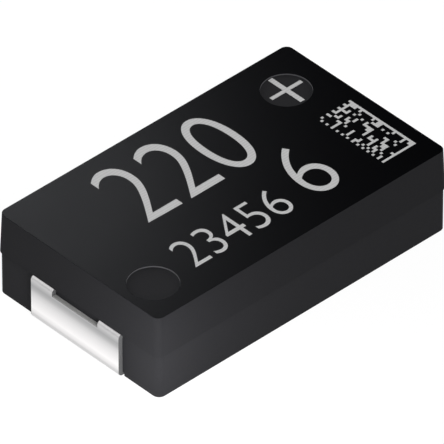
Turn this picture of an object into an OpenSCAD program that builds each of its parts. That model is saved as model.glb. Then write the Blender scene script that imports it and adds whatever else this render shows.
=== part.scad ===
// Stacked aluminium polymer capacitor in a moulded chip case, 7.3 x 4.3 mm footprint.
// X runs along the body with the anode at +X, Z is up, and Z = 0 is the seating plane under the feet.

/* [Case] */
// Length of the resin body at its parting line
body_l = 7.25; // [6.6:0.01:8]
// Width of the resin body at its parting line
body_w = 4.3; // [3.8:0.01:5]
// Height of the top face above the seating plane
body_h = 1.835; // [1.7:0.005:2.8]
// Height of the parting line above the seating plane
parting_h = 0.955; // [0.86:0.005:1.05]
// Lean of the upper half's walls, in degrees
upper_draft = 2; // [0:0.1:4]
// Set-back of the lower half's end walls from the parting line
end_step = 0.03; // [0.01:0.01:0.1]
// Set-back of the lower half's side walls from the parting line
side_step = 0.015; // [0.01:0.005:0.06]
// Radius of the body's upright corners
corner_r = 0.15; // [0.13:0.01:0.4]
// Width and height of the small bevel round the top face
edge_break = 0.01; // [0.005:0.005:0.05]
// Lift of the resin's underside above the seating plane
standoff = 0.01; // [0.005:0.005:0.06]

/* [Ejector pin marks] */
// Diameter of each pin mark
pin_d = 0.97; // [0.6:0.01:1.2]
// Depth of each pin mark
pin_depth = 0.03; // [0.01:0.005:0.06]
// Plus mark's centre, in from the anode end
plus_in_x = 0.97; // [0.7:0.01:1.6]
// Plus mark's centre, in from the far side
plus_in_y = 1.01; // [0.7:0.01:1.6]
// Plain mark's centre, in from the cathode end
plain_in_x = 0.7; // [0.7:0.01:1.6]
// Plain mark's centre, in from the near side
plain_in_y = 0.87; // [0.7:0.01:1.6]

/* [Terminals] */
// Width of each terminal outside the resin
lead_w = 2.37; // [1.8:0.01:3]
// Thickness of the terminal sheet
lead_t = 0.08; // [0.07:0.01:0.14]
// Inside radius of the terminal's two bends
bend_r = 0.005; // [0.005:0.005:0.05]
// Width of the notch between the two prongs
notch_w = 1.17; // [0.6:0.01:1.5]
// Drop of the notch's floor below the terminal's top
notch_drop = 0.125; // [0.12:0.005:0.4]
// Length of the prongs inside the resin
prong_root = 0.3; // [0.15:0.05:0.4]
// Length of each foot, from the terminal's outer face
foot_l = 1.3; // [0.8:0.05:1.6]
// Clearance round each foot in its recess
foot_clear = 0.04; // [0.01:0.01:0.1]

/* [Elements] */
// Elements on each side of the cathode blade
side_elements = 2; // [1:1:2]
// Thickness of the anode foil
foil_t = 0.1; // [0.08:0.01:0.12]
// Thickness of the coat on each face of the foil
coat_t = 0.07; // [0.04:0.005:0.08]
// Width of the coat past the foil's edges
coat_edge = 0.05; // [0.03:0.01:0.08]
// Radius of the coat's corners in plan
coat_r = 0.1; // [0.05:0.01:0.15]
// Length of the resist band along the foil
band_l = 0.4; // [0.2:0.05:0.6]
// Thickness of the resist band on each face of the foil
band_t = 0.03; // [0.01:0.005:0.04]
// Thickness of each layer of silver adhesive
bond_t = 0.02; // [0.01:0.005:0.03]
// Straight stretch of each tail before its bend
tail_lead = 0.05; // [0.03:0.01:0.2]
// Slope of each tail down to the anode blade, in degrees
tail_slope = 50; // [40:1:60]
// Length of the innermost tails on the anode blade
weld_l = 0.8; // [0.5:0.05:1]
// Distance by which each tail lands further out than the one inside it
tail_step = 0.2; // [0.17:0.01:0.3]
// Narrowest gap between two tails that the resin fills
fill_gap = 0.03; // [0.02:0.005:0.04]

/* [Resin cover] */
// Resin between the tails' tips and the anode end wall
tip_cover = 0.45; // [0.4:0.01:0.7]
// Resin between the coats and the cathode end wall
end_cover = 0.62; // [0.4:0.01:0.8]
// Resin between the coats and the body's sides
side_cover = 0.4; // [0.25:0.01:0.6]
// Set-back of the cathode blade's edges from the coats' edges
blade_inset = 0.15; // [0.05:0.01:0.3]
// Distance that the cathode blade stops short of the coats' open ends
blade_stop = 0.3; // [0.1:0.01:0.6]

/* [Hidden] */
$fn = 64;
// Spare length of a cut past the face that it opens
past = 0.5;
// Reach of a solid into the one that it joins
lap = 0.1;

// End wall of the lower half, outer face of the terminals and their outer bend radius
wall_x = body_l / 2 - end_step;
outer_x = wall_x + bend_r + lead_t;
outer_r = bend_r + lead_t;
root_x = wall_x - prong_root;

// Widths of the stack's layers
coat_w = body_w - 2 * side_cover;
foil_w = coat_w - 2 * coat_edge;
blade_w = coat_w - 2 * blade_inset;

// Middle plane of the lead frame, which the stack is symmetric about
mid_z = parting_h - lead_t / 2;
element_t = foil_t + 2 * coat_t;
ELEMENTS = [1 : 2 * side_elements];
LEVELS = [0 : side_elements - 1];

// Elements count from the top, and levels count outwards from the blade
function is_upper(k) = k <= side_elements;
function level(k) = is_upper(k) ? side_elements - k : k - side_elements - 1;
function coat_base(j) = lead_t / 2 + bond_t + j * (element_t + bond_t);
function foil_mid(j) = coat_base(j) + element_t / 2;
function weld_mid(j) = lead_t / 2 + (j + 0.5) * foil_t;

// Each tail slopes down from its element to its landing, with a mitre at both bends
mitre = foil_t / 2 * tan(tail_slope / 2);
function tail_run(j) = (foil_mid(j) - weld_mid(j)) / tan(tail_slope);

// Stations along the stack, from the anode end to the cathode end
tip_x = wall_x - tip_cover;
weld_x = tip_x - weld_l;
function land_x(j) = weld_x + j * tail_step;
bend_x = min([for (j = LEVELS) land_x(j) - tail_run(j)]);
band_x = bend_x - tail_lead - band_l;
coat_x = end_cover - wall_x;
blade_x = band_x - blade_stop;

// Section across a block, whose walls follow a profile of [set-in, height] points
module block_section(half_w, profile) {
    polygon(concat(
        [for (p = profile) [half_w - p[0], p[1]]],
        [for (i = [len(profile) - 1 : -1 : 0]) [profile[i][0] - half_w, profile[i][1]]]
    ));
}

// Block with upright round corners and the same wall profile all round
module profiled_block(l, w, profile) {
    rotate([90, 0, 90])
        linear_extrude(l - 2 * corner_r, center = true)
            block_section(w / 2, profile);
    rotate([90, 0, 0])
        linear_extrude(w - 2 * corner_r, center = true)
            block_section(l / 2, profile);
    for (x = [corner_r - l / 2, l / 2 - corner_r], y = [corner_r - w / 2, w / 2 - corner_r])
        translate([x, y, 0])
            rotate_extrude()
                polygon(concat(
                    [[0, profile[0][1]]],
                    [for (p = profile) [corner_r - p[0], p[1]]],
                    [[0, profile[len(profile) - 1][1]]]
                ));
}

// The resin as moulded, before anything is inside it: the lower half reaches up into the upper one
module moulding() {
    bevel_z = body_h - edge_break;
    inset = (bevel_z - parting_h) * tan(upper_draft);
    profiled_block(body_l - 2 * end_step, body_w - 2 * side_step, [[0, standoff], [0, parting_h + lap]]);
    profiled_block(body_l, body_w, [[0, parting_h], [inset, bevel_z], [inset + edge_break, body_h]]);
}

// Shallow round recess that an ejector pin leaves in the top face
module pin_mark(x, y) {
    translate([x, y, body_h - pin_depth])
        cylinder(h = pin_depth + past, d = pin_d);
}

// Recess under the body that a foot folds into, at the anode end
module foot_recess() {
    inner_x = outer_x - foot_l - foot_clear;
    width = lead_w + 2 * foot_clear;
    translate([inner_x, -width / 2, -past])
        cube([foot_l + past, width, lead_t + past]);
}

// Draws its child at the anode end, and mirrored at the cathode end
module both_ends() {
    children();
    mirror([1, 0, 0])
        children();
}

// Flat of a lead frame inside the resin, at the anode end: the blade and its two prongs as far as end_x
module lead_flat(inner_x, end_x) {
    prong_w = (lead_w - notch_w) / 2;
    translate([0, 0, parting_h - lead_t])
        linear_extrude(lead_t) {
            translate([inner_x, -blade_w / 2])
                square([root_x - inner_x, blade_w]);
            for (y = [-lead_w / 2, notch_w / 2])
                translate([inner_x, y])
                    square([end_x - inner_x, prong_w]);
        }
}

// Bar section from x0 to x1 whose two right-hand corners are round
module round_nose(x0, x1, z0, z1, r) {
    translate([x0, z0])
        square([x1 - x0 - r, z1 - z0]);
    translate([x0, z0 + r])
        square([x1 - x0, z1 - z0 - 2 * r]);
    for (z = [z0 + r, z1 - r])
        translate([x1 - r, z])
            circle(r);
}

// Section of the fold: out of the resin, down the end wall and in under the body
module fold_section() {
    foot_x = outer_x - foot_l;
    difference() {
        round_nose(foot_x, outer_x, 0, parting_h, outer_r);
        round_nose(foot_x - past, outer_x - lead_t, lead_t, parting_h - lead_t, bend_r);
        translate([foot_x - past, lead_t])
            square([root_x - foot_x + past, parting_h]);
    }
}

// One lead frame at the anode end: flat, prongs, leg and foot from a single sheet
module lead_frame(inner_x) {
    lead_flat(inner_x, root_x + lap);
    difference() {
        rotate([90, 0, 0])
            linear_extrude(lead_w, center = true)
                fold_section();
        translate([wall_x - past, -notch_w / 2, parting_h - notch_drop])
            cube([outer_r + 2 * past, notch_w, notch_drop + past]);
    }
}

// Section of a foil at level j: flat, slope and weld tail
module foil_section(j) {
    foil_x = coat_x + coat_edge;
    leave_x = land_x(j) - tail_run(j);
    half_t = foil_t / 2;
    polygon([
        [foil_x, foil_mid(j) - half_t],
        [leave_x - mitre, foil_mid(j) - half_t],
        [land_x(j) - mitre, weld_mid(j) - half_t],
        [tip_x, weld_mid(j) - half_t],
        [tip_x, weld_mid(j) + half_t],
        [land_x(j) + mitre, weld_mid(j) + half_t],
        [leave_x + mitre, foil_mid(j) + half_t],
        [foil_x, foil_mid(j) + half_t],
    ]);
}

// Draws an element's piece above the lead frame's middle plane, or mirrored below it
module on_side(k) {
    translate([0, 0, mid_z])
        mirror([0, 0, is_upper(k) ? 0 : 1])
            children();
}

module foil_solid(k) {
    on_side(k)
        rotate([90, 0, 0])
            linear_extrude(foil_w, center = true)
                foil_section(level(k));
}

// Outside of the band from x0 to its end, with the foil not yet taken out
module band_solid(k, x0) {
    on_side(k)
        translate([x0, -coat_w / 2, foil_mid(level(k)) - foil_t / 2 - band_t])
            cube([band_x + band_l - x0, coat_w, foil_t + 2 * band_t]);
}

// Plan of a coat, and of the adhesive between two coats
module coat_plan() {
    length = band_x - coat_x;
    translate([coat_x, coat_r - coat_w / 2])
        square([length, coat_w - 2 * coat_r]);
    translate([coat_x + coat_r, -coat_w / 2])
        square([length - coat_r, coat_w]);
    for (y = [coat_r - coat_w / 2, coat_w / 2 - coat_r])
        translate([coat_x + coat_r, y])
            circle(coat_r);
}

// Outside of the coat, with the foil not yet taken out
module coat_solid(k) {
    on_side(k)
        translate([0, 0, coat_base(level(k))])
            linear_extrude(element_t)
                coat_plan();
}

// Adhesive under an element: on the blade for the first level, on the next coat for the others
module bond_solid(k) {
    on_side(k)
        translate([0, 0, coat_base(level(k)) - bond_t])
            linear_extrude(bond_t)
                if (level(k) > 0)
                    coat_plan();
                else
                    translate([coat_x, -blade_w / 2])
                        square([blade_x - coat_x, blade_w]);
}

// Contact between a tail and the one inside it, with the last of the gap before it that the resin can't fill
module tail_nip(k) {
    j = level(k);
    nip_x = land_x(j) - mitre - fill_gap / tan(tail_slope);
    if (j > 0)
        on_side(k)
            translate([nip_x, -foil_w / 2, weld_mid(j) - foil_t])
                cube([tip_x - nip_x, foil_w, foil_t]);
}

// Space that the stack and the lead frames' flats take in the resin, as solids that reach into each other
module stack_space() {
    stack_h = coat_base(side_elements) - bond_t - coat_base(0);
    core_h = 2 * foil_mid(0);
    weld_h = 2 * weld_mid(0);
    lead_flat(weld_x, outer_x);
    mirror([1, 0, 0])
        lead_flat(-blade_x, outer_x);
    translate([coat_x, -blade_w / 2, mid_z - core_h / 2])
        cube([blade_x - coat_x, blade_w, core_h]);
    translate([weld_x, -blade_w / 2, mid_z - weld_h / 2])
        cube([tip_x - weld_x, blade_w, weld_h]);
    for (k = [1, 2 * side_elements])
        on_side(k)
            translate([0, 0, coat_base(0)])
                linear_extrude(stack_h)
                    coat_plan();
    for (k = ELEMENTS) {
        band_solid(k, band_x - coat_edge);
        foil_solid(k);
        tail_nip(k);
    }
}

module resin_case() {
    color("#2b2a2c")
        difference() {
            moulding();
            pin_mark(body_l / 2 - plus_in_x, body_w / 2 - plus_in_y);
            pin_mark(plain_in_x - body_l / 2, plain_in_y - body_w / 2);
            both_ends()
                foot_recess();
            stack_space();
        }
}

module cathode_terminal() {
    color("#dcdcda")
        mirror([1, 0, 0])
            lead_frame(-blade_x);
}

module anode_terminal() {
    color("#dcdcda")
        lead_frame(weld_x);
}

module anode_foil(k) {
    color("#aeb2b6")
        foil_solid(k);
}

module resist_band(k) {
    color("#b98a3c")
        difference() {
            band_solid(k, band_x);
            foil_solid(k);
        }
}

module cathode_coat(k) {
    color("#77797c")
        difference() {
            coat_solid(k);
            foil_solid(k);
        }
}

module silver_bond(k) {
    color("#c9cac6")
        bond_solid(k);
}

resin_case();
cathode_terminal();
anode_terminal();
for (k = ELEMENTS) {
    anode_foil(k);
    resist_band(k);
    cathode_coat(k);
    silver_bond(k);
}
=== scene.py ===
"""Looks of a stacked aluminium polymer capacitor in a moulded chip case.

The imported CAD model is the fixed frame. The operators model the case, its two terminals and its laser marks
on that frame, finish the foils inside, and set the part on a pale floor under soft light.
"""
import math

import bmesh
import bpy
from bpy.props import FloatProperty, FloatVectorProperty, IntProperty, PointerProperty, StringProperty
from bpy.types import Operator, Panel, PropertyGroup
from mathutils import Euler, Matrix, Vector


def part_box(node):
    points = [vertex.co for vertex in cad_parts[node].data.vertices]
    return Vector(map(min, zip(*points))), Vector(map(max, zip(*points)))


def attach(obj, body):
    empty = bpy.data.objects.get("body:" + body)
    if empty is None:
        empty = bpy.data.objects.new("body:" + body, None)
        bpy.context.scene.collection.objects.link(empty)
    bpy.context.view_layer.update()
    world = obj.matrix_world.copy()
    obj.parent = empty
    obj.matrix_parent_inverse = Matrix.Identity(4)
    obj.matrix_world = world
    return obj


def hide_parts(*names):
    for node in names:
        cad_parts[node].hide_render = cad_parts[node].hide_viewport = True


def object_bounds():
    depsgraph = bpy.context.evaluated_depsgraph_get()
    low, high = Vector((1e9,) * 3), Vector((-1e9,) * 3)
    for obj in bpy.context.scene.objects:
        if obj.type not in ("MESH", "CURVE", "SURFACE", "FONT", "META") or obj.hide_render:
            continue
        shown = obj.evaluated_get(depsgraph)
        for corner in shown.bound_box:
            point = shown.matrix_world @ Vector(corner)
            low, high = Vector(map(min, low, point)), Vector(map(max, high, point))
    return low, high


bl_info = {
    "name": "Chip Capacitor Looks",
    "version": (1, 0, 0),
    "blender": (4, 5, 0),
    "location": "View3D > Sidebar > Capacitor",
    "description": "Models and finishes a moulded aluminium polymer capacitor on its CAD frame",
    "category": "Object",
}

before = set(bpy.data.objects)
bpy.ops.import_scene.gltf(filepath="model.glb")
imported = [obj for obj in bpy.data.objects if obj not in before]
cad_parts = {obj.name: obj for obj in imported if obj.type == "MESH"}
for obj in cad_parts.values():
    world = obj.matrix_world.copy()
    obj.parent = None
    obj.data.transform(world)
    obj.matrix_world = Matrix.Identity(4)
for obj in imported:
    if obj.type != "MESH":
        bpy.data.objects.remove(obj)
CAD_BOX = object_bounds()

# Pieces are modelled in millimetres, because Blender's edit tools merge points that lie a micrometre apart.
MM = 0.001
# Distance within which two points count as one place, in mm.
HAIR = 0.001
# Air left between the resin's hollows and what fills them, in mm, so that no two surfaces share a place.
FILM = 0.002
# Spare length of a cut past the face that it opens, in mm.
PAST = 0.5
# Rise of a face's normal from which the face counts as facing up.
UPWARD = 0.9
# Facets across an upright corner, the edge of the top, a pin mark's rim, a bend and a rolled edge.
CORNER_FACETS, TOP_FACETS, RIM_FACETS, BEND_FACETS, ROLL_FACETS = 8, 4, 2, 8, 2
# Sides of a pin mark's circle, and the rounding of its rim as a share of its depth.
PIN_SIDES, RIM_SHARE = 96, 0.2
# Foils stacked inside.
STACKED = 4
# Sides up to this length in a figure's outline are merged, as a share of the type size.
SHORT_SIDE = 0.008
# Turn up to which two sides of a figure's outline are one.
STRAIGHT = math.radians(1)
# Share of the code's inner modules that are marked, and the factors of the formula that scatters them.
MARKED, SCATTER = 0.3, (12.9898, 78.233, 43758.5453)
# Share of grey painted on the tin as shade and reflection, by height above the board in mm.
TIN_PAINTED_SHADE = (
    (0.0, 0.62), (0.11, 0.6), (0.165, 0.27), (0.26, 0.0), (0.5, 0.33),
    (0.6, 0.55), (0.69, 0.87), (0.765, 1.0), (0.92, 0.55), (0.955, 0.2),
)
# Reach of one of the tin's rolling lines along each axis, in mm.
ROLLING_LINE = (1.0, 0.5, 0.025)
# Order of a terminal's finishes.
# The third finish is a lighter copy of the cut edge for the notch's upward floor: painted light.
PLATED, SHEARED, NOTCH_PAINTED_LIT = range(3)
# Length of one wave of Blender's wave texture at scale 1.
WAVE_LENGTH = math.tau / 20
# Angle up to which two faces meet smoothly.
SMOOTH = math.radians(35)
# Width of the floor in mm, its glow where the camera or a reflection sees it, and that glow's share.
FLOOR_WIDTH, FLOOR_GLOW, GLOW_SHARE = 400, 1.03, 0.85
# Light of the dim room round the lamps, as a linear colour.
ROOM = (0.01, 0.01, 0.011, 1)
# Softboxes: name, place, point that it faces, width and height, all in mm, and power in watts.
LAMPS = (
    ("key_softbox", (-27, -39, 60), (0, 0, 0), (50, 50), 0.051),
    ("sheen_strip", (17.5, 26.2, 27), (-3.8, 3.6, 1.8), (7.5, 2), 0.00032),
    ("corner_softbox", (-5.1, -3.8, 1.5), (-3.6, -2.1, 0.9), (2.2, 2.2), 0.00019),
    ("bend_card", (-20, 20, 20), (-3.6, 0, 0.9), (44, 44), 0.0048),
    ("anode_fill", (40, -6, 9), (3.6, 0, 0.9), (20, 14), 0.01),
    ("far_fill", (-6, 40, 9), (0, 2.1, 0.9), (20, 14), 0.01),
)


def linear(hex_colour):
    """An sRGB hex colour as linear red, green, blue and alpha."""
    channels = [int(hex_colour[i:i + 2], 16) / 255 for i in (1, 3, 5)]
    return [c / 12.92 if c <= 0.04045 else ((c + 0.055) / 1.055) ** 2.4 for c in channels] + [1.0]


def mm(length):
    """A length or place from the frame or a setting, in millimetres."""
    return length / MM


def span(points):
    """Lowest and highest corner of the box round some points."""
    return [Vector([end(point[i] for point in points) for i in range(3)]) for end in (min, max)]


def node_span(*names):
    """Lowest and highest corner of several CAD nodes together, in mm."""
    return [mm(corner) for corner in span([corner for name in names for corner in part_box(name)])]


def layers(kind):
    """Names of the CAD nodes of one kind in the stack."""
    return [f"{kind}_{k}" for k in range(1, STACKED + 1)]


def length_setting(name, description, default_mm):
    """A length that a user may change, given in mm and kept in metres."""
    return FloatProperty(
        name=name, description=description, default=default_mm * MM, unit="LENGTH", precision=5
    )


def place_setting(name, description, default_mm):
    """A place or size on the top face that a user may change, given in mm and kept in metres."""
    default = [value * MM for value in default_mm]
    return FloatVectorProperty(
        name=name, description=description, default=default, size=2, unit="LENGTH", precision=5
    )


def angle_setting(name, description, degrees):
    """An angle that a user may change, given in degrees and kept in radians."""
    return FloatProperty(
        name=name, description=description, default=math.radians(degrees), subtype="ANGLE"
    )


def thinning_setting(name, default):
    """A thinning of a line of figures that a user may change."""
    return FloatProperty(
        name=name, description="Distance that the outlines move in, as a share of the type size",
        default=default, subtype="FACTOR", min=0, max=0.04, precision=3,
    )


def colour_setting(name, description, hex_colour):
    """A colour that a user may change."""
    return FloatVectorProperty(
        name=name, description=description, default=linear(hex_colour), size=4, subtype="COLOR", min=0, max=1
    )


class CapacitorCase(PropertyGroup):
    """Sizes and colours of the moulded case"""
    parting_height: length_setting("Parting height", "Height of the parting line above the board", 0.955)
    end_step: length_setting("End step", "Set-back of the lower half's ends from the parting line", 0.03)
    side_step: length_setting("Side step", "Set-back of the lower half's sides from the parting line", 0.015)
    corner_radius: length_setting("Corner radius", "Radius of the body's upright corners", 0.15)
    edge_radius: length_setting("Edge radius", "Radius of the edge round the top face", 0.01)
    draft: angle_setting("Draft", "Lean of the upper half's walls", 2)
    pin_diameter: length_setting("Pin diameter", "Diameter of each ejector pin mark", 0.97)
    pin_depth: length_setting("Pin depth", "Depth of each ejector pin mark", 0.03)
    plus_pin: place_setting("Plus pin", "Centre of the pin mark that holds the plus sign", (2.655, 1.14))
    plain_pin: place_setting("Plain pin", "Centre of the plain pin mark", (-2.925, -1.28))
    foot_clearance: length_setting("Foot clearance", "Clearance round each foot in its recess", 0.04)
    upper_resin: colour_setting("Upper resin", "Colour of the matt epoxy on the upper walls", "#1c1c1e")
    # Painted light: the lower half's epoxy is a little lighter than the upper half's, as light from the
    # floor.
    lower_resin_painted_lighter: colour_setting("Lower resin", "Colour of the matt epoxy below and inside", "#1f1f21")
    # Painted shade: the top's epoxy is given near black, far darker than the same epoxy on the walls.
    top_resin_painted_dark: colour_setting("Top resin", "Colour of the polished epoxy on the top", "#010102")
    # Painted highlight: pale grey on the rims and walls of the pin marks.
    pin_rim_highlight: colour_setting("Pin rim highlight", "Colour of the torn resin round each pin mark", "#505053")
    pin_face: colour_setting("Pin face", "Colour of the resin under the ejector pins", "#212123")


class CapacitorTerminals(PropertyGroup):
    """Sizes and colours of the two terminals"""
    width: length_setting("Width", "Width of each terminal outside the resin", 2.37)
    thickness: length_setting("Thickness", "Thickness of the terminal sheet", 0.08)
    bend_radius: length_setting("Bend radius", "Inside radius of the two bends", 0.005)
    notch_width: length_setting("Notch width", "Width of the notch between the two prongs", 1.17)
    notch_drop: length_setting("Notch drop", "Drop of the notch's floor below the terminal's top", 0.125)
    prong_root: length_setting("Prong root", "Length of the prongs inside the resin", 0.3)
    blade_width: length_setting("Blade width", "Width of the blade inside the resin", 3.2)
    foot_length: length_setting("Foot length", "Length of each foot, from the terminal's outer face", 1.3)
    edge_radius: length_setting("Edge radius", "Radius of the outer cut edges that the shear rolled", 0.02)
    tin: colour_setting("Tin", "Colour of the tin plating", "#f7f5f5")
    # Painted shade: grey mixed into the tin by height, standing in for reflections along the leg.
    tin_painted_shade: colour_setting("Tin painted shade", "Grey painted on the tin as shade and reflection, by height", "#a6a6a7")
    sheared: colour_setting("Sheared edge", "Colour of the sheet's sheared edges", "#4a4a4b")
    # Painted light: a lighter copy of the cut edge's grey for the notch's upward floor.
    punched: colour_setting("Notch floor painted lit", "Lighter cut-edge grey painted on the notch's upward floor as light", "#7c7c7b")


class CapacitorMarks(PropertyGroup):
    """Figures, places, sizes and colour of the laser marks"""
    number: StringProperty(name="Number", description="Large number on the top", default="220")
    number_centre: place_setting("Number centre", "Middle of the large number", (-0.35, 0.865))
    number_size: place_setting("Number size", "Length and height of the large number", (2.96, 1.73))
    number_thinning: thinning_setting("Number thinning", 0.0125)
    line: StringProperty(name="Line", description="Small line of figures on the top", default="23456")
    line_centre: place_setting("Line centre", "Middle of the small line", (-0.805, -1.095))
    line_size: place_setting("Line size", "Length and height of the small line", (2.53, 0.79))
    line_thinning: thinning_setting("Line thinning", 0.013)
    figure: StringProperty(name="Figure", description="Single figure on the top", default="6")
    figure_centre: place_setting("Figure centre", "Middle of the single figure", (1.31, -0.785))
    figure_size: place_setting("Figure size", "Length and height of the single figure", (0.74, 1.47))
    figure_thinning: thinning_setting("Figure thinning", 0.014)
    plus_centre: place_setting("Plus centre", "Middle of the plus sign", (2.68, 1.167))
    plus_size: place_setting("Plus size", "Length and height of the plus sign", (0.77, 0.87))
    plus_stroke: place_setting("Plus stroke", "Widths of its upright and level bars", (0.105, 0.085))
    code_centre: place_setting("Code centre", "Middle of the square-module code", (2.89, -0.745))
    code_module: place_setting("Code module", "Length and height of one module of the code", (0.0703, 0.0677))
    code_trim: length_setting("Code trim", "Border that the laser leaves round the code's modules", 0.0085)
    code_columns: IntProperty(name="Code columns", description="Modules along the case", default=12, min=4)
    code_rows: IntProperty(name="Code rows", description="Modules across the case", default=26, min=4)
    height: length_setting("Height", "Height to which the laser foams the resin", 0.003)
    grey: colour_setting("Grey", "Colour of the laser-marked resin", "#b5b5b5")


class CapacitorStack(PropertyGroup):
    """Colours of the foils inside and of what coats and joins them"""
    foil: colour_setting("Foil", "Colour of the etched aluminium foils", "#b9bcbf")
    resist: colour_setting("Resist", "Colour of the insulating bands", "#b8862f")
    paint: colour_setting("Paint", "Colour of the conductive coats", "#77797c")
    adhesive: colour_setting("Adhesive", "Colour of the silver-filled adhesive", "#c6c7c4")


class CapacitorStage(PropertyGroup):
    """Camera's view and the floor's colour"""
    azimuth: angle_setting("Azimuth", "Camera's turn about the part", -43.154)
    elevation: angle_setting("Elevation", "Camera's height angle", 39.014)
    distance: length_setting("Distance", "Distance from the camera to the part", 229.3)
    view_width: length_setting("View width", "Width of the view at the part", 8.084)
    view_shift: place_setting("View shift", "Shift of the view to the right and up", (-0.0224, -0.0381))
    floor: colour_setting("Floor", "Colour of the floor", "#f4f4f4")


# Shader nodes

def add(tree, kind, inputs=None, **settings):
    """Adds one shader node: settings are its attributes, and an input takes a value or a node's output."""
    new = tree.nodes.new("ShaderNode" + kind)
    for name, value in settings.items():
        setattr(new, name, value)
    for name, value in (inputs or {}).items():
        if isinstance(value, bpy.types.NodeSocket):
            tree.links.new(value, new.inputs[name])
        else:
            new.inputs[name].default_value = value
    return new


def start_material(name):
    """An empty material: its tree, its principled shader and its object coordinates in millimetres."""
    material = bpy.data.materials.new(name)
    material.use_nodes = True
    tree = material.node_tree
    tree.nodes.clear()
    shader = add(tree, "BsdfPrincipled")
    add(tree, "OutputMaterial", {"Surface": shader.outputs["BSDF"]})
    place = add(tree, "TexCoord")
    in_mm = add(tree, "Mapping", {"Vector": place.outputs["Object"], "Scale": (1 / MM,) * 3})
    return material, tree, shader, in_mm.outputs["Vector"]


def add_grain(tree, shader, place, colour, size, contrast, relief):
    """Mottles a colour by a share of its level, with grains of a size and a relief in mm."""
    grain = add(tree, "TexNoise", {"Vector": place, "Scale": 1 / size, "Detail": 3.0, "Roughness": 0.6})
    shade = add(
        tree, "MapRange", {"Value": grain.outputs["Fac"], "To Min": 1 - contrast, "To Max": 1 + contrast}
    )
    tint = add(tree, "VectorMath", {0: colour[:3], "Scale": shade.outputs["Result"]}, operation="SCALE")
    bump = add(tree, "Bump", {"Height": grain.outputs["Fac"], "Strength": 0.25, "Distance": relief * MM})
    tree.links.new(tint.outputs["Vector"], shader.inputs["Base Color"])
    tree.links.new(bump.outputs["Normal"], shader.inputs["Normal"])


def eroded_epoxy(half, colour):
    """Silica-filled epoxy moulded against a spark-eroded tool: dark grey and matt, with a fine grain."""
    material, tree, shader, place = start_material(half + "_eroded_epoxy")
    add_grain(tree, shader, place, colour, size=0.05, contrast=0.15, relief=0.004)
    shader.inputs["Roughness"].default_value = 0.7
    shader.inputs["Diffuse Roughness"].default_value = 0.8
    shader.inputs["Specular IOR Level"].default_value = 0.06
    return material


def polished_epoxy(colour):
    """The same epoxy moulded against a polished face, for the marks: painted near black as shade, with a soft
    sheen.
    """
    material, tree, shader, place = start_material("polished_epoxy")
    # Widths in mm of the clouds in the gloss and of the grains.
    cloud_width, grain_width = 1.5, 0.06
    cloud = add(tree, "TexNoise", {"Vector": place, "Scale": 1 / cloud_width, "Detail": 4.0})
    gloss = add(tree, "MapRange", {"Value": cloud.outputs["Fac"], "To Min": 0.24, "To Max": 0.265})
    grain = add(tree, "TexNoise", {"Vector": place, "Scale": 1 / grain_width, "Detail": 2.0})
    bump = add(tree, "Bump", {"Height": grain.outputs["Fac"], "Strength": 0.05, "Distance": 0.001 * MM})
    shader.inputs["Base Color"].default_value = colour
    shader.inputs["Specular IOR Level"].default_value = 0.25
    # Painted light colour: the cool tint on the sheen stands in for a cool lamp.
    shader.inputs["Specular Tint"].default_value = linear("#f1f5ff")
    tree.links.new(gloss.outputs["Result"], shader.inputs["Roughness"])
    tree.links.new(bump.outputs["Normal"], shader.inputs["Normal"])
    return material


def torn_epoxy(colour):
    """Pale grey, rough epoxy on each pin mark's rim and walls: a painted highlight where they catch the
    light.
    """
    material, tree, shader, place = start_material("torn_epoxy")
    add_grain(tree, shader, place, colour, size=0.06, contrast=0.2, relief=0.004)
    shader.inputs["Roughness"].default_value = 0.8
    shader.inputs["Specular IOR Level"].default_value = 0.2
    return material


def pin_pressed_epoxy(colour):
    """Epoxy that the ground end of an ejector pin has pressed: greyer and duller, with a faint grain."""
    material, tree, shader, place = start_material("pin_pressed_epoxy")
    add_grain(tree, shader, place, colour, size=0.08, contrast=0.1, relief=0.002)
    shader.inputs["Roughness"].default_value = 0.75
    shader.inputs["Specular IOR Level"].default_value = 0.1
    return material


def laser_marked_epoxy(colour):
    """Epoxy foamed grey by a laser that scans close lines: matt, with a fine speckle between them."""
    material, tree, shader, place = start_material("laser_marked_epoxy")
    # The real scan pitch is about 0.03 mm. It is drawn at 0.06 mm so that it shows in the render.
    pitch, speckle_width = 0.06, 0.03
    scan = add(
        tree, "TexWave", {"Vector": place, "Scale": WAVE_LENGTH / pitch, "Distortion": 1.0},
        bands_direction="Y",
    )
    speckle = add(tree, "TexNoise", {"Vector": place, "Scale": 1 / speckle_width, "Detail": 2.0})
    both = add(tree, "Math", {0: scan.outputs["Fac"], 1: speckle.outputs["Fac"]}, operation="ADD")
    shade = add(
        tree, "MapRange", {"Value": both.outputs["Value"], "From Max": 2.0, "To Min": 0.86, "To Max": 1.14}
    )
    tint = add(tree, "VectorMath", {0: colour[:3], "Scale": shade.outputs["Result"]}, operation="SCALE")
    shader.inputs["Roughness"].default_value = 0.9
    shader.inputs["Specular IOR Level"].default_value = 0.1
    tree.links.new(tint.outputs["Vector"], shader.inputs["Base Color"])
    return material


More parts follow.
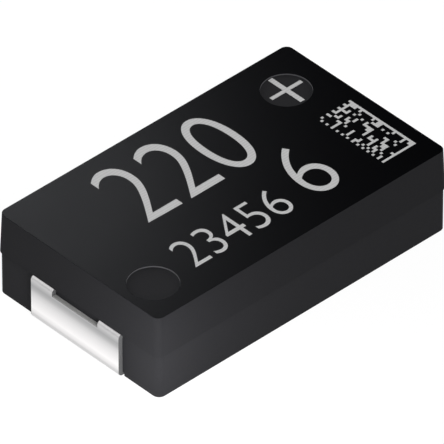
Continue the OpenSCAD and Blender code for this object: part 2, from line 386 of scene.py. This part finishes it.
def tin_plate(colour, shade_colour):
    """Matt tin over rolled copper alloy: bright satin, with rolling lines and grey painted shade at the
    bends.

    The painted shade and reflection is greyest just below the notch, and again where the sheet turns under
    the body.
    """
    material, tree, shader, place = start_material("tin_plate")
    height = add(tree, "SeparateXYZ", {"Vector": place}).outputs["Z"]
    # Painted shade: the tin turns grey by height, standing in for reflections and shade along the leg.
    painted_shade_ramp = add(tree, "ValToRGB", {"Fac": height})
    for stop, (stop_z, share) in enumerate(TIN_PAINTED_SHADE):
        if 0 < stop < len(TIN_PAINTED_SHADE) - 1:
            painted_shade_ramp.color_ramp.elements.new(stop_z)
        painted_shade_ramp.color_ramp.elements[stop].position = stop_z
        painted_shade_ramp.color_ramp.elements[stop].color = (share, share, share, 1)
    tint = add(tree, "Mix", {0: painted_shade_ramp.outputs["Color"], 6: colour, 7: shade_colour}, data_type="RGBA")
    rolled = add(tree, "Mapping", {"Vector": place, "Scale": [1 / reach for reach in ROLLING_LINE]})
    lines = add(tree, "TexNoise", {"Vector": rolled.outputs["Vector"], "Scale": 1.0, "Detail": 3.0})
    gloss = add(tree, "MapRange", {"Value": lines.outputs["Fac"], "To Min": 0.28, "To Max": 0.4})
    bump = add(tree, "Bump", {"Height": lines.outputs["Fac"], "Strength": 0.1, "Distance": 0.002 * MM})
    shader.inputs["Metallic"].default_value = 1.0
    tree.links.new(tint.outputs[2], shader.inputs["Base Color"])
    tree.links.new(gloss.outputs["Result"], shader.inputs["Roughness"])
    tree.links.new(bump.outputs["Normal"], shader.inputs["Normal"])
    return material


def cut_alloy(tool, colour):
    """Copper alloy at a sheared edge, smeared with tin: dull grey and rough, with torn grains; its lighter
    copy on the notch's upward floor is painted light.
    """
    material, tree, shader, place = start_material(tool + "_alloy")
    add_grain(tree, shader, place, colour, size=0.05, contrast=0.1, relief=0.005)
    shader.inputs["Metallic"].default_value = 0.4
    shader.inputs["Roughness"].default_value = 0.8
    return material


def etched_aluminium(colour):
    """Aluminium foil etched into fine tunnels and anodised: dull pale grey, with a frosted grain."""
    material, tree, shader, place = start_material("etched_aluminium")
    add_grain(tree, shader, place, colour, size=0.03, contrast=0.12, relief=0.003)
    shader.inputs["Metallic"].default_value = 1.0
    shader.inputs["Roughness"].default_value = 0.6
    return material


def printed_resist(colour):
    """Insulating resin printed round the foil and cured: amber, with soft swells in its gloss."""
    material, tree, shader, place = start_material("printed_resist")
    add_grain(tree, shader, place, colour, size=0.15, contrast=0.15, relief=0.01)
    shader.inputs["Roughness"].default_value = 0.35
    return material


def silver_paint(colour):
    """Silver paint dipped over carbon: mid grey, with the grey carbon showing between its flakes."""
    material, tree, shader, place = start_material("silver_paint")
    add_grain(tree, shader, place, colour, size=0.06, contrast=0.3, relief=0.008)
    shader.inputs["Metallic"].default_value = 0.6
    shader.inputs["Roughness"].default_value = 0.65
    return material


def silver_filled_adhesive(colour):
    """Epoxy filled with silver flakes and pressed between the foils: pale grey, with a flaky sparkle."""
    material, tree, shader, place = start_material("silver_filled_adhesive")
    add_grain(tree, shader, place, colour, size=0.02, contrast=0.25, relief=0.004)
    shader.inputs["Metallic"].default_value = 0.8
    shader.inputs["Roughness"].default_value = 0.5
    return material


# Modelling steps

def clear_selection():
    """Leaves nothing selected, so that the next tool acts on the new piece alone."""
    bpy.ops.object.select_all(action="DESELECT")


def pick(kind, test):
    """Selects the edit mesh's vertices, edges or faces that pass a test, and nothing else."""
    bpy.ops.mesh.select_mode(type=kind)
    bpy.ops.mesh.select_all(action="DESELECT")
    mesh = bmesh.from_edit_mesh(bpy.context.edit_object.data)
    parts = {"VERT": mesh.verts, "EDGE": mesh.edges, "FACE": mesh.faces}[kind]
    for part in parts:
        if test(part):
            part.select_set(True)
    mesh.select_flush_mode()
    bmesh.update_edit_mesh(bpy.context.edit_object.data)


def extrude(x=0.0, y=0.0, z=0.0):
    """Draws out what is selected."""
    bpy.ops.mesh.extrude_region_move(TRANSFORM_OT_translate={"value": (x, y, z)})


def apply_modifier(piece, kind, **settings):
    """Adds a modifier to a piece and applies it."""
    bpy.context.view_layer.objects.active = piece
    bpy.ops.object.modifier_add(type=kind)
    modifier = piece.modifiers[-1]
    for name, value in settings.items():
        setattr(modifier, name, value)
    bpy.ops.object.modifier_apply(modifier=modifier.name)


def carve(piece, cutter):
    """Cuts a shape out of a piece, and clears the cutter away."""
    apply_modifier(piece, "BOOLEAN", object=cutter, operation="DIFFERENCE", solver="EXACT")
    bpy.data.objects.remove(cutter)


def carve_box(piece, low, high):
    """Cuts the box between two corners out of a piece."""
    clear_selection()
    low, high = Vector(low), Vector(high)
    bpy.ops.mesh.primitive_cube_add(size=1, location=(low + high) / 2, scale=high - low)
    carve(piece, bpy.context.object)


def finish_piece(piece):
    """Smooths a piece, brings it from millimetres to the frame's metres and ties it to the frame."""
    clear_selection()
    piece.select_set(True)
    bpy.context.view_layer.objects.active = piece
    bpy.ops.object.shade_smooth_by_angle(angle=SMOOTH)
    apply_modifier(piece, "WEIGHTED_NORMAL", keep_sharp=True)
    piece.scale = (MM,) * 3
    bpy.ops.object.transform_apply(location=True, rotation=True, scale=True)
    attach(piece, "root")


class CAPACITOR_OT_case(Operator):
    """Models the moulded case with its parting step, draft, pin marks and hollows"""
    bl_idname = "capacitor.case"
    bl_label = "Moulded Case"

    def execute(self, context):
        case = context.scene.capacitor_case
        low, high = node_span("resin_case")
        piece = self.mould(case, low, high)
        self.hollow(piece, context.scene.capacitor_terminals, case, high)
        for centre in (case.plus_pin, case.plain_pin):
            self.press_pin(piece, case, centre, high.z)
        self.finish_faces(piece, case, high.z)
        finish_piece(piece)
        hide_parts("resin_case")
        return {"FINISHED"}

    def mould(self, case, low, high):
        """The outside of the case, drawn up from its lower half."""
        length, width = 2 * high.x, 2 * high.y
        lower_l, lower_w = length - 2 * mm(case.end_step), width - 2 * mm(case.side_step)
        parting = mm(case.parting_height)
        rise = high.z - parting
        inset = rise * math.tan(case.draft)
        clear_selection()
        bpy.ops.mesh.primitive_cube_add(
            size=1, location=(0, 0, (low.z + parting) / 2), scale=(lower_l, lower_w, parting - low.z)
        )
        piece = bpy.context.object
        piece.name = "moulded_case"
        bpy.ops.object.transform_apply(location=True, rotation=True, scale=True)
        bpy.ops.object.mode_set(mode="EDIT")
        pick("EDGE", lambda e: abs(e.verts[0].co.z - e.verts[1].co.z) > HAIR)
        bpy.ops.mesh.bevel(offset=mm(case.corner_radius), segments=CORNER_FACETS, affect="EDGES")
        pick("FACE", lambda f: f.normal.z > UPWARD)
        extrude()
        bpy.ops.transform.resize(
            value=(length / lower_l, width / lower_w, 1), center_override=(0, 0, parting)
        )
        extrude(z=rise)
        bpy.ops.transform.resize(
            value=(1 - 2 * inset / length, 1 - 2 * inset / width, 1), center_override=(0, 0, high.z)
        )
        pick("EDGE", lambda e: all(v.co.z > high.z - HAIR for v in e.verts))
        bpy.ops.mesh.bevel(offset=mm(case.edge_radius), segments=TOP_FACETS, affect="EDGES")
        bpy.ops.object.mode_set(mode="OBJECT")
        return piece

    def hollow(self, piece, lead, case, high):
        """Cuts the space for the stack, the two blades, their prongs and their feet."""
        film = Vector((FILM,) * 3)
        wall_x = high.x - mm(case.end_step)
        root_x = wall_x - mm(lead.prong_root)
        top = mm(case.parting_height)
        sheet = mm(lead.thickness)
        coats = node_span(*layers("cathode_coat"))
        bands = node_span(*layers("resist_band"))
        foils = node_span(*layers("anode_foil"))
        blade_y = mm(lead.blade_width) / 2
        inner_y, outer_y = mm(lead.notch_width) / 2, mm(lead.width) / 2
        foot_x = node_span("anode_terminal")[1].x - mm(lead.foot_length) - mm(case.foot_clearance)
        foot_y = outer_y + mm(case.foot_clearance)
        boxes = [
            (coats[0] - film, coats[1] + film),
            (bands[0] - film, Vector((foils[1].x, bands[1].y, bands[1].z)) + film),
            (Vector((-root_x, -blade_y, top - sheet)) - film, Vector((root_x, blade_y, top)) + film),
        ]
        for side in (-1, 1):
            for y in (-outer_y, inner_y):
                ends = sorted((side * (root_x - HAIR), side * (wall_x + PAST)))
                boxes.append((
                    Vector((ends[0], y - FILM, top - sheet - FILM / 2)),
                    Vector((ends[1], y + outer_y - inner_y + FILM, top + FILM / 2)),
                ))
            ends = sorted((side * foot_x, side * (wall_x + PAST)))
            boxes.append((Vector((ends[0], -foot_y, -PAST)), Vector((ends[1], foot_y, sheet + FILM))))
        for corners in boxes:
            carve_box(piece, *corners)

    def press_pin(self, piece, case, centre, top):
        """Presses one ejector pin mark into the top, with a soft rim."""
        x, y = mm(centre[0]), mm(centre[1])
        radius, depth = mm(case.pin_diameter) / 2, mm(case.pin_depth)
        clear_selection()
        bpy.ops.mesh.primitive_cylinder_add(
            vertices=PIN_SIDES, radius=radius, depth=2 * depth, location=(x, y, top)
        )
        carve(piece, bpy.context.object)
        bpy.context.view_layer.objects.active = piece
        bpy.ops.object.mode_set(mode="EDIT")
        pick("EDGE", lambda e: all(
            abs(v.co.z - top) < HAIR and abs(math.hypot(v.co.x - x, v.co.y - y) - radius) < HAIR
            for v in e.verts
        ))
        bpy.ops.mesh.bevel(offset=RIM_SHARE * depth, segments=RIM_FACETS, affect="EDGES")
        bpy.ops.object.mode_set(mode="OBJECT")

    def finish_faces(self, piece, case, top):
        """Gives each half, the top, the painted highlights round the pin marks and the marks' floors their
        own finish.
        """
        # The lower half takes a lighter copy of the epoxy as painted light.
        for finish in (
            eroded_epoxy("lower", case.lower_resin_painted_lighter), eroded_epoxy("upper", case.upper_resin),
            polished_epoxy(case.top_resin_painted_dark), torn_epoxy(case.pin_rim_highlight), pin_pressed_epoxy(case.pin_face),
        ):
            piece.data.materials.append(finish)
        lower, upper, polished, rim_highlight, pin_floor = range(5)
        pins = [Vector((mm(pin[0]), mm(pin[1]))) for pin in (case.plus_pin, case.plain_pin)]
        reach = mm(case.pin_diameter) / 2 + HAIR
        floor_z = top - mm(case.pin_depth)
        for face in piece.data.polygons:
            in_pin = any((face.center.xy - pin).length < reach for pin in pins)
            if in_pin and abs(face.center.z - floor_z) < HAIR:
                face.material_index = pin_floor
            elif in_pin and floor_z < face.center.z < top - HAIR:
                # Painted highlight: the walls and rims of the pin marks.
                face.material_index = rim_highlight
            elif face.center.z > top - HAIR:
                face.material_index = polished
            else:
                face.material_index = upper if face.center.z > mm(case.parting_height) + HAIR else lower


class CAPACITOR_OT_terminals(Operator):
    """Folds the two forked terminals from sheet"""
    bl_idname = "capacitor.terminals"
    bl_label = "Terminals"

    def execute(self, context):
        lead = context.scene.capacitor_terminals
        case = context.scene.capacitor_case
        finishes = (
            tin_plate(lead.tin, lead.tin_painted_shade),
            cut_alloy("sheared", lead.sheared), cut_alloy("punched", lead.punched),
        )
        for node, inner_x, side in (
            ("anode_terminal", node_span("anode_terminal")[0].x, 1),
            ("cathode_terminal", -node_span("cathode_terminal")[1].x, -1),
        ):
            piece = self.fold(lead, case, inner_x)
            piece.name = node.replace("terminal", "lead")
            for finish in finishes:
                piece.data.materials.append(finish)
            apply_modifier(
                piece, "SOLIDIFY", thickness=mm(lead.thickness), offset=0, use_even_offset=True,
                material_offset_rim=SHEARED,
            )
            self.roll_edges(piece, mm(lead.edge_radius), mm(case.parting_height) / 2)
            # The notch's floor faces up and takes the lighter copy of the cut edge, as painted light.
            for face in piece.data.polygons:
                if face.material_index == SHEARED and abs(face.center.y) < HAIR:
                    face.material_index = NOTCH_PAINTED_LIT
            if side < 0:
                self.mirror(piece)
            finish_piece(piece)
            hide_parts(node)
        return {"FINISHED"}

    def fold(self, lead, case, inner_x):
        """The middle surface of one terminal at the anode end: blade, prongs, leg and foot."""
        wall_x = node_span("resin_case")[1].x - mm(case.end_step)
        sheet = mm(lead.thickness)
        bend = mm(lead.bend_radius) + sheet
        top = mm(case.parting_height)
        root_x = wall_x - mm(lead.prong_root)
        half_w, half_notch = mm(lead.width) / 2, mm(lead.notch_width) / 2
        notch_z = top - mm(lead.notch_drop)
        clear_selection()
        bpy.ops.mesh.primitive_plane_add(size=1, location=((inner_x + root_x) / 2, 0, top - sheet / 2))
        piece = bpy.context.object
        bpy.ops.object.mode_set(mode="EDIT")
        bpy.ops.transform.resize(value=(root_x - inner_x, mm(lead.blade_width), 1))
        for y in (-half_w, -half_notch, half_notch, half_w):
            bpy.ops.mesh.select_all(action="SELECT")
            bpy.ops.mesh.bisect(plane_co=(0, y, 0), plane_no=(0, 1, 0))
        bpy.ops.object.mode_set(mode="OBJECT")
        bpy.ops.object.transform_apply(location=True, rotation=True, scale=True)
        bpy.ops.object.mode_set(mode="EDIT")
        pick("EDGE", lambda e: all(v.co.x > root_x - HAIR and abs(v.co.y) < half_w + HAIR for v in e.verts))
        extrude(x=wall_x - root_x)
        bpy.ops.mesh.spin(
            steps=BEND_FACETS, angle=math.radians(-90), center=(wall_x, 0, top - bend), axis=(0, 1, 0)
        )
        extrude(z=notch_z - (top - bend))
        extrude(z=bend - notch_z)
        bpy.ops.mesh.spin(
            steps=BEND_FACETS, angle=math.radians(-90), center=(wall_x, 0, bend), axis=(0, 1, 0)
        )
        extrude(x=bend - mm(lead.foot_length))
        pick("FACE", lambda f: (
            abs(f.calc_center_median().y) < half_notch
            and f.calc_center_median().x > root_x and f.calc_center_median().z > notch_z
        ))
        bpy.ops.mesh.delete(type="FACE")
        bpy.ops.mesh.select_all(action="SELECT")
        bpy.ops.mesh.remove_doubles(threshold=HAIR)
        bpy.ops.mesh.normals_make_consistent(inside=False)
        bpy.ops.object.mode_set(mode="OBJECT")
        return piece

    def roll_edges(self, piece, radius, middle_z):
        """Rounds the cut edges on the fold's outside, where the shear's blade pressed the sheet in."""
        middle = Vector((0, 0, middle_z))

        def is_rolled(edge):
            outside = any(
                f.material_index == PLATED and f.normal.dot(f.calc_center_median() - middle) > 0
                for f in edge.link_faces
            )
            return outside and any(f.material_index == SHEARED for f in edge.link_faces)

        bpy.context.view_layer.objects.active = piece
        bpy.ops.object.mode_set(mode="EDIT")
        pick("EDGE", is_rolled)
        bpy.ops.mesh.bevel(offset=radius, segments=ROLL_FACETS, affect="EDGES", material=SHEARED)
        bpy.ops.object.mode_set(mode="OBJECT")

    def mirror(self, piece):
        """Turns a terminal of the anode end into one of the cathode end."""
        clear_selection()
        piece.select_set(True)
        bpy.context.view_layer.objects.active = piece
        bpy.ops.object.mode_set(mode="EDIT")
        bpy.ops.mesh.select_all(action="SELECT")
        bpy.ops.transform.resize(value=(-1, 1, 1), center_override=(0, 0, 0))
        bpy.ops.mesh.normals_make_consistent(inside=False)
        bpy.ops.object.mode_set(mode="OBJECT")


class CAPACITOR_OT_marks(Operator):
    """Draws the laser marks: plain figures, a plus sign and a code of square modules"""
    bl_idname = "capacitor.marks"
    bl_label = "Laser Marks"

    def execute(self, context):
        marks = context.scene.capacitor_marks
        case = context.scene.capacitor_case
        top = node_span("resin_case")[1].z
        grey = laser_marked_epoxy(marks.grey)
        pieces = [
            self.figures(marks, "number", top),
            self.figures(marks, "line", top),
            self.figures(marks, "figure", top),
            self.plus(marks, top - mm(case.pin_depth)),
            self.code(marks, top),
        ]
        for piece in pieces:
            piece.data.materials.clear()
            piece.data.materials.append(grey)
            apply_modifier(piece, "SOLIDIFY", thickness=mm(marks.height), offset=1)
            finish_piece(piece)
        return {"FINISHED"}

    def figures(self, marks, kind, top):
        """A line of figures, thinned and fitted to its place."""
        centre, size = getattr(marks, kind + "_centre"), getattr(marks, kind + "_size")
        clear_selection()
        bpy.ops.object.text_add()
        bpy.context.object.data.body = getattr(marks, kind)
        bpy.ops.object.convert(target="MESH")
        piece = bpy.context.object
        piece.name = kind + "_mark"
        bpy.ops.object.mode_set(mode="EDIT")
        bpy.ops.mesh.select_all(action="SELECT")
        bpy.ops.mesh.remove_doubles(threshold=SHORT_SIDE)
        bpy.ops.mesh.dissolve_limited(angle_limit=STRAIGHT)
        self.trim(getattr(marks, kind + "_thinning"))
        bpy.ops.object.mode_set(mode="OBJECT")
        low, high = span([v.co for v in piece.data.vertices])
        fitted = (mm(size[0]) / (high.x - low.x), mm(size[1]) / (high.y - low.y), 1)
        bpy.ops.object.mode_set(mode="EDIT")
        bpy.ops.mesh.select_all(action="SELECT")
        bpy.ops.transform.translate(value=-(low + high) / 2)
        bpy.ops.transform.resize(value=fitted, center_override=(0, 0, 0))
        bpy.ops.transform.translate(value=(mm(centre[0]), mm(centre[1]), top))
        bpy.ops.object.mode_set(mode="OBJECT")
        return piece

    def plus(self, marks, floor_z):
        """The plus sign on its pin mark's floor: a small block of its two bars' widths, with four arms."""
        strokes = Vector((mm(marks.plus_stroke[0]), mm(marks.plus_stroke[1]), 1))
        middle = Vector((mm(marks.plus_centre[0]), mm(marks.plus_centre[1]), floor_z))
        clear_selection()
        bpy.ops.mesh.primitive_plane_add(size=1, location=middle)
        piece = bpy.context.object
        piece.name = "plus_mark"
        piece.scale = strokes
        bpy.ops.object.transform_apply(location=True, rotation=True, scale=True)
        bpy.ops.object.mode_set(mode="EDIT")
        for axis, size in enumerate(marks.plus_size):
            across = strokes[1 - axis]
            for side in (-1, 1):
                edge = middle[axis] + side * strokes[axis] / 2
                pick("EDGE", lambda e: all(abs(v.co[axis] - edge) < HAIR for v in e.verts)
                     and abs(e.calc_length() - across) < HAIR)
                extrude(**{"xy"[axis]: side * (mm(size) - strokes[axis]) / 2})
        bpy.ops.object.mode_set(mode="OBJECT")
        return piece

    def code(self, marks, top):
        """A code that holds no message: two full edges, two broken ones and modules set by a formula."""
        columns, rows = marks.code_columns, marks.code_rows
        module_x, module_y = mm(marks.code_module[0]), mm(marks.code_module[1])
        x0 = mm(marks.code_centre[0]) - columns * module_x / 2
        y0 = mm(marks.code_centre[1]) - rows * module_y / 2
        along, across, spread = SCATTER

        def is_blank(face):
            middle = face.calc_center_median()
            i, j = int((middle.x - x0) / module_x), int((middle.y - y0) / module_y)
            if i == columns - 1 or j == 0:
                return False
            if i == 0 or j == rows - 1:
                return (i + j) % 2 == 1
            return math.sin(along * i + across * j) * spread % 1 > MARKED

        clear_selection()
        bpy.ops.mesh.primitive_grid_add(x_subdivisions=columns, y_subdivisions=rows, size=1)
        piece = bpy.context.object
        piece.name = "code_mark"
        bpy.ops.object.mode_set(mode="EDIT")
        bpy.ops.mesh.select_all(action="SELECT")
        bpy.ops.transform.resize(value=(columns * module_x, rows * module_y, 1), center_override=(0, 0, 0))
        bpy.ops.transform.translate(value=(mm(marks.code_centre[0]), mm(marks.code_centre[1]), top))
        pick("FACE", is_blank)
        bpy.ops.mesh.delete(type="FACE")
        self.trim(mm(marks.code_trim))
        bpy.ops.object.mode_set(mode="OBJECT")
        return piece

    def trim(self, border):
        """Takes a narrow border off the flat mark in edit mode."""
        bpy.ops.mesh.select_mode(type="FACE")
        bpy.ops.mesh.select_all(action="SELECT")
        bpy.ops.mesh.inset(thickness=border, use_boundary=True)
        bpy.ops.mesh.select_all(action="INVERT")
        bpy.ops.mesh.delete(type="FACE")


class CAPACITOR_OT_stack(Operator):
    """Finishes the four foils inside, with their bands, coats and bonds, which keep their CAD shapes"""
    bl_idname = "capacitor.stack"
    bl_label = "Foil Stack"

    def execute(self, context):
        stack = context.scene.capacitor_stack
        finishes = {
            "anode_foil": etched_aluminium(stack.foil),
            "resist_band": printed_resist(stack.resist),
            "cathode_coat": silver_paint(stack.paint),
            "silver_bond": silver_filled_adhesive(stack.adhesive),
        }
        for kind, finish in finishes.items():
            for node in layers(kind):
                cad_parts[node].material_slots[0].material = finish
        return {"FINISHED"}


class CAPACITOR_OT_stage(Operator):
    """Sets the floor, the light and the camera"""
    bl_idname = "capacitor.stage"
    bl_label = "Stage"

    def execute(self, context):
        stage = context.scene.capacitor_stage
        self.floor(stage)
        self.world(context)
        self.camera(context, stage)
        for lamp in LAMPS:
            self.lamp(*lamp)
        context.scene.view_settings.view_transform = "Standard"
        return {"FINISHED"}

    def floor(self, stage):
        """A pale floor that the camera and reflections see white, apart from the part's soft shadow."""
        clear_selection()
        bpy.ops.mesh.primitive_plane_add(size=FLOOR_WIDTH * MM)
        floor = bpy.context.object
        floor.name = "floor"
        material = bpy.data.materials.new("pale_floor")
        material.use_nodes = True
        tree = material.node_tree
        tree.nodes.clear()
        ray = add(tree, "LightPath").outputs
        seen = add(
            tree, "Math", {0: ray["Is Camera Ray"], 1: ray["Is Glossy Ray"]}, operation="MAXIMUM"
        )
        shown = add(
            tree, "Math", {0: seen.outputs["Value"], 1: ray["Is Transmission Ray"]}, operation="MAXIMUM"
        )
        share = add(tree, "Math", {0: shown.outputs["Value"], 1: GLOW_SHARE}, operation="MULTIPLY")
        matt = add(tree, "BsdfDiffuse", {"Color": stage.floor})
        white = add(tree, "Emission", {"Strength": FLOOR_GLOW})
        mixed = add(
            tree, "MixShader",
            {0: share.outputs["Value"], 1: matt.outputs["BSDF"], 2: white.outputs["Emission"]},
        )
        add(tree, "OutputMaterial", {"Surface": mixed.outputs["Shader"]})
        floor.data.materials.append(material)

    def world(self, context):
        """A dim room round the lamps."""
        world = bpy.data.worlds.new("dim_room")
        world.use_nodes = True
        world.node_tree.nodes["Background"].inputs["Color"].default_value = ROOM
        context.scene.world = world

    def camera(self, context, stage):
        """A long lens at the photograph's angle."""
        turn = Euler((math.radians(90) - stage.elevation, 0, stage.azimuth))
        shift = turn.to_matrix() @ Vector((*stage.view_shift, 0))
        away = turn.to_matrix() @ Vector((0, 0, stage.distance))
        middle = (Vector(CAD_BOX[0]) + Vector(CAD_BOX[1])) / 2
        clear_selection()
        bpy.ops.object.camera_add(location=middle + shift + away, rotation=turn)
        camera = bpy.context.object
        camera.data.lens = camera.data.sensor_width * stage.distance / stage.view_width
        camera.data.clip_start = stage.distance / 10
        context.scene.camera = camera

    def lamp(self, name, place, target, size, power):
        """A softbox that faces a point, with its places, width and height in mm."""
        away = Vector(place) - Vector(target)
        clear_selection()
        bpy.ops.object.light_add(
            type="AREA", location=Vector(place) * MM, rotation=away.to_track_quat("Z", "Y").to_euler()
        )
        lamp = bpy.context.object
        lamp.name = name
        lamp.data.shape = "RECTANGLE"
        lamp.data.size, lamp.data.size_y = size[0] * MM, size[1] * MM
        lamp.data.energy = power


class CAPACITOR_PT_looks(Panel):
    """Lists the steps and their settings"""
    bl_label = "Chip Capacitor"
    bl_idname = "CAPACITOR_PT_looks"
    bl_space_type = "VIEW_3D"
    bl_region_type = "UI"
    bl_category = "Capacitor"

    def draw(self, context):
        for step, settings, group in STEPS:
            self.layout.operator(step.bl_idname)
            for name in group.__annotations__:
                self.layout.prop(getattr(context.scene, settings), name)


# The steps in order, each with the name that its settings have in the scene, and their group.
STEPS = (
    (CAPACITOR_OT_case, "capacitor_case", CapacitorCase),
    (CAPACITOR_OT_terminals, "capacitor_terminals", CapacitorTerminals),
    (CAPACITOR_OT_marks, "capacitor_marks", CapacitorMarks),
    (CAPACITOR_OT_stack, "capacitor_stack", CapacitorStack),
    (CAPACITOR_OT_stage, "capacitor_stage", CapacitorStage),
)


def register():
    """Adds the settings, the steps and the panel to Blender."""
    for step, settings, group in STEPS:
        bpy.utils.register_class(group)
        setattr(bpy.types.Scene, settings, PointerProperty(type=group))
        bpy.utils.register_class(step)
    bpy.utils.register_class(CAPACITOR_PT_looks)


def unregister():
    """Takes the panel, the steps and the settings out again."""
    bpy.utils.unregister_class(CAPACITOR_PT_looks)
    for step, settings, group in reversed(STEPS):
        bpy.utils.unregister_class(step)
        delattr(bpy.types.Scene, settings)
        bpy.utils.unregister_class(group)


def main():
    """Runs the steps in order."""
    register()
    bpy.ops.capacitor.case()
    bpy.ops.capacitor.terminals()
    bpy.ops.capacitor.marks()
    bpy.ops.capacitor.stack()
    bpy.ops.capacitor.stage()


if __name__ == "__main__":
    main()
